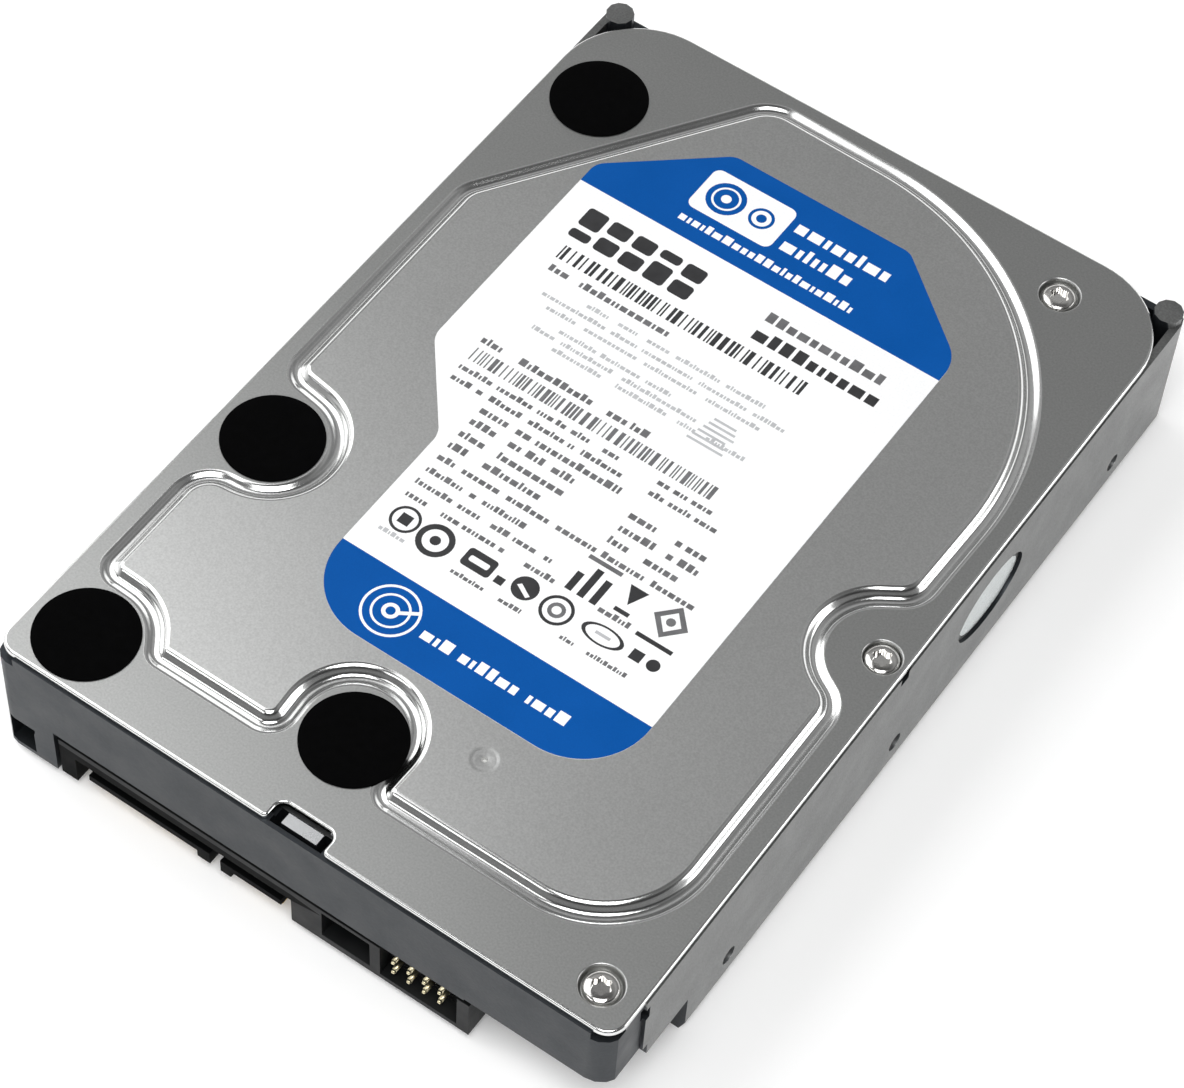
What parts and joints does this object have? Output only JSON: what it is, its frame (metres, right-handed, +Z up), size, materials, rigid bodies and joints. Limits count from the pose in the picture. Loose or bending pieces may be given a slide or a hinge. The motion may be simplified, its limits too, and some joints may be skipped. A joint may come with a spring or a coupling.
{
  "type": "hard disk drive",
  "caption": "Desktop disk drive: cast tray with stamped cover, label, circuit board and connectors, holding a spindle with platters and a swinging head actuator.",
  "frame": {"origin": "centre of the underside of the body, on the plane that the rails rest on", "axes": "+Z up to the cover and label, -Y to the connector end, +X to the jumper side, right when facing the connectors"},
  "size_m": [0.1016, 0.147, 0.0261],
  "materials": {
    "casting": "die-cast, lightly blasted, satin",
    "cover": "stamped sheet, fine satin grain",
    "black": "matt black adhesive film",
    "label": null,
    "foil": "adhesive foil, semi-bright",
    "screw": "bright plated",
    "board": "green solder mask, semi-gloss",
    "foam": "closed-cell foam, matt",
    "plastic": "moulded black",
    "gold": "gold-plated contact",
    "steel": "ground steel",
    "nickel": "nickel-plated steel",
    "copper": "enamelled copper wire",
    "magnet": "nickel-plated sintered magnet",
    "platter": "mirror-polished",
    "machined": "machined aluminium",
    "rubber": "matt elastomer",
    "ramp": "moulded natural",
    "fibre": "non-woven felt",
    "polyimide": "amber flexible circuit"
  },
  "bodies": {
    "chassis": {"base_casting": "casting", "top_cover": "cover", "cover_gasket": "rubber", "product_label": "label", "side_port_seal": "foil", "breather_filter": "black", "circuit_board": "board", "board_insulator": "foam", "connector_housing": "plastic", "power_contacts": "gold", "signal_contacts": "gold", "jumper_pins": "gold", "motor_base": "machined", "motor_stator": "copper", "lower_yoke": "nickel", "upper_yoke": "nickel", "lower_magnet": "magnet", "upper_magnet": "magnet", "head_ramp": "ramp", "pivot_shaft": "steel", "flex_bracket": "plastic", "flex_cable": "polyimide", "crash_stop": "rubber", "recirculation_filter": "fibre", "latch_pin": "steel", "cover_screw_1": "screw", "cover_screw_2": "screw", "cover_screw_3": "screw", "cover_screw_4": "screw", "cover_screw_5": "screw", "cover_screw_6": "screw", "cover_screw_7": "screw", "cover_disc_1": "black", "board_screw_1": "screw", "cover_disc_2": "black", "board_screw_2": "screw", "cover_disc_3": "black", "board_screw_3": "screw", "cover_disc_4": "black", "board_screw_4": "screw", "yoke_screw_1": "screw", "yoke_screw_2": "screw"},
    "rotor": {"rotor_magnet": "magnet", "spindle_hub": "machined", "platter_1": "platter", "platter_spacer": "machined", "platter_2": "platter", "disc_clamp": "nickel", "clamp_screw_1": "screw", "clamp_screw_2": "screw", "clamp_screw_3": "screw"},
    "actuator": {"actuator_arm": "machined", "pivot_sleeve": "steel", "voice_coil": "copper", "arm_flex": "polyimide", "head_suspension_1": "steel", "head_suspension_2": "steel", "head_suspension_3": "steel", "head_suspension_4": "steel"},
    "latch": {"latch_lever": "plastic"}
  },
  "joints": [
    {"name": "spindle_spin", "type": "hinge", "parent": "chassis", "child": "rotor", "pos_m": [0.0003, 0.0227, 0.0125], "axis": [0, 0, 1], "continuous": true},
    {"name": "actuator_swing", "type": "hinge", "parent": "chassis", "child": "actuator", "pos_m": [0.02, -0.028, 0.0154], "axis": [0, 0, -1], "range_deg": [0, 38]},
    {"name": "latch_swing", "type": "hinge", "parent": "chassis", "child": "latch", "pos_m": [0.0425, -0.025, 0.01375], "axis": [0, 0, 1], "range_deg": [0, 12]}
  ]
}
